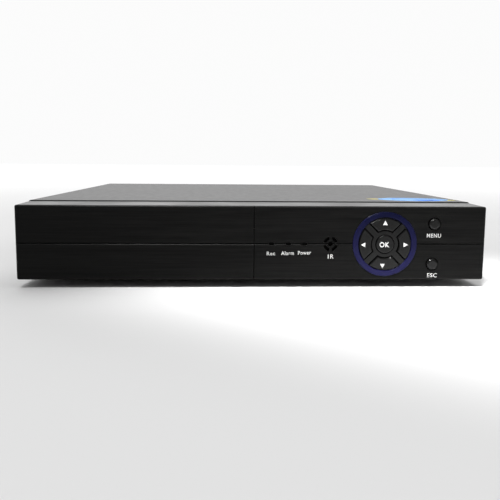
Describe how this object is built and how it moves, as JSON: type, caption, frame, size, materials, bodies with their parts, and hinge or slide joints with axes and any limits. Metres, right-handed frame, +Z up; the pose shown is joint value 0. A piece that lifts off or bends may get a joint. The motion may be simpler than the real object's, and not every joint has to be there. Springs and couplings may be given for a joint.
{
  "type": "digital video recorder",
  "caption": "Flat black set-top digital video recorder with a brushed front, ringed navigation keypad, and a rear panel of video, audio, monitor, network, USB and power connectors.",
  "frame": {"origin": "centre of the bounding box at the height of the feet's undersides", "axes": "+Z up, front face towards -Y, connectors towards +Y, +X to the right seen from the front"},
  "size_m": [0.25, 0.2422, 0.045],
  "materials": {
    "front_plate": "horizontally brushed black face",
    "bezel": "satin moulded",
    "nav_ring": "dark blue translucent",
    "keypad_plastic": "fine satin",
    "black_plastic": "matt moulded",
    "clear_plastic": "smoked clear",
    "led": "diffused",
    "ir_plastic": "dark filter",
    "circuit_board": "solder mask",
    "cable_grey": "jacket",
    "cable_red": "jacket",
    "cover_paint": "satin black powder coat",
    "panel_film": "printed blue-grey film",
    "rubber": "matt",
    "black_screw": "black zinc",
    "nickel": "satin nickel plate",
    "white_plastic": "natural",
    "red_plastic": "moulded",
    "brass": "gold flash",
    "blue_plastic": "moulded",
    "green_plastic": "moulded",
    "zinc_screw": "zinc plated",
    "chip": "epoxy",
    "heatsink": "extruded",
    "cast_metal": "cast",
    "disk_cover": "stamped",
    "platter": "polished"
  },
  "bodies": {
    "case": {"front_plate": "front_plate", "front_bezel": "bezel", "nav_ring": "nav_ring", "nav_frame": "keypad_plastic", "tact_switches": "black_plastic", "light_pipes": "clear_plastic", "indicator_leds": "led", "ir_window": "ir_plastic", "ir_receiver": "ir_plastic", "keypad_board": "circuit_board", "keypad_cable": "cable_grey", "top_cover": "cover_paint", "chassis_tray": "cover_paint", "rear_panel": "panel_film", "rubber_feet": "rubber", "case_screws": "black_screw", "bnc_housings": "black_plastic", "bnc_shells": "nickel", "bnc_insulators": "white_plastic", "jack_contacts": "brass", "rca_shells": "nickel", "rca_insulators": "red_plastic", "audio_out_shell": "nickel", "audio_out_insulator": "white_plastic", "audio_jack_block": "black_plastic", "vga_shell": "nickel", "vga_insert": "blue_plastic", "vga_housing": "black_plastic", "vga_jackscrews": "nickel", "hd_port_shell": "nickel", "hd_port_tongue": "black_plastic", "lan_usb_shell": "nickel", "lan_usb_insert": "black_plastic", "rs485_header": "green_plastic", "dc_jack": "black_plastic", "panel_screws": "nickel", "main_board": "circuit_board", "standoffs": "brass", "board_screws": "zinc_screw", "board_components": "chip", "heatsink": "heatsink", "board_connectors": "white_plastic", "coin_cell": "zinc_screw", "alarm_buzzer": "black_plastic", "hdd_base": "cast_metal", "hdd_cover": "disk_cover", "hdd_magnets": "disk_cover", "hdd_board": "circuit_board", "hdd_screws": "zinc_screw", "sata_cables": "cable_red"},
    "ok_button": {"ok_button": "keypad_plastic"},
    "up_button": {"up_button": "keypad_plastic"},
    "down_button": {"down_button": "keypad_plastic"},
    "left_button": {"left_button": "keypad_plastic"},
    "right_button": {"right_button": "keypad_plastic"},
    "menu_button": {"menu_button": "keypad_plastic"},
    "esc_button": {"esc_button": "keypad_plastic"},
    "disk_rotor": {"hdd_platter": "platter", "hdd_spindle": "disk_cover"},
    "disk_arm": {"hdd_actuator": "disk_cover"}
  },
  "joints": [
    {"name": "ok_press", "type": "slide", "parent": "case", "child": "ok_button", "axis": [0, 1, 0], "range_m": [0, 0.0006], "stiffness_N_per_m": 500, "springref_m": -0.0006},
    {"name": "up_press", "type": "slide", "parent": "case", "child": "up_button", "axis": [0, 1, 0], "range_m": [0, 0.0006], "stiffness_N_per_m": 500, "springref_m": -0.0006},
    {"name": "down_press", "type": "slide", "parent": "case", "child": "down_button", "axis": [0, 1, 0], "range_m": [0, 0.0006], "stiffness_N_per_m": 500, "springref_m": -0.0006},
    {"name": "left_press", "type": "slide", "parent": "case", "child": "left_button", "axis": [0, 1, 0], "range_m": [0, 0.0006], "stiffness_N_per_m": 500, "springref_m": -0.0006},
    {"name": "right_press", "type": "slide", "parent": "case", "child": "right_button", "axis": [0, 1, 0], "range_m": [0, 0.0006], "stiffness_N_per_m": 500, "springref_m": -0.0006},
    {"name": "menu_press", "type": "slide", "parent": "case", "child": "menu_button", "axis": [0, 1, 0], "range_m": [0, 0.0006], "stiffness_N_per_m": 500, "springref_m": -0.0006},
    {"name": "esc_press", "type": "slide", "parent": "case", "child": "esc_button", "axis": [0, 1, 0], "range_m": [0, 0.0006], "stiffness_N_per_m": 500, "springref_m": -0.0006},
    {"name": "platter_spin", "type": "hinge", "parent": "case", "child": "disk_rotor", "pos_m": [-0.0612, -0.0382, 0.018], "axis": [0, 0, 1], "continuous": true},
    {"name": "arm_swing", "type": "hinge", "parent": "case", "child": "disk_arm", "pos_m": [-0.004, -0.023, 0.018], "axis": [0, 0, -1], "range_deg": [0, 32]}
  ]
}
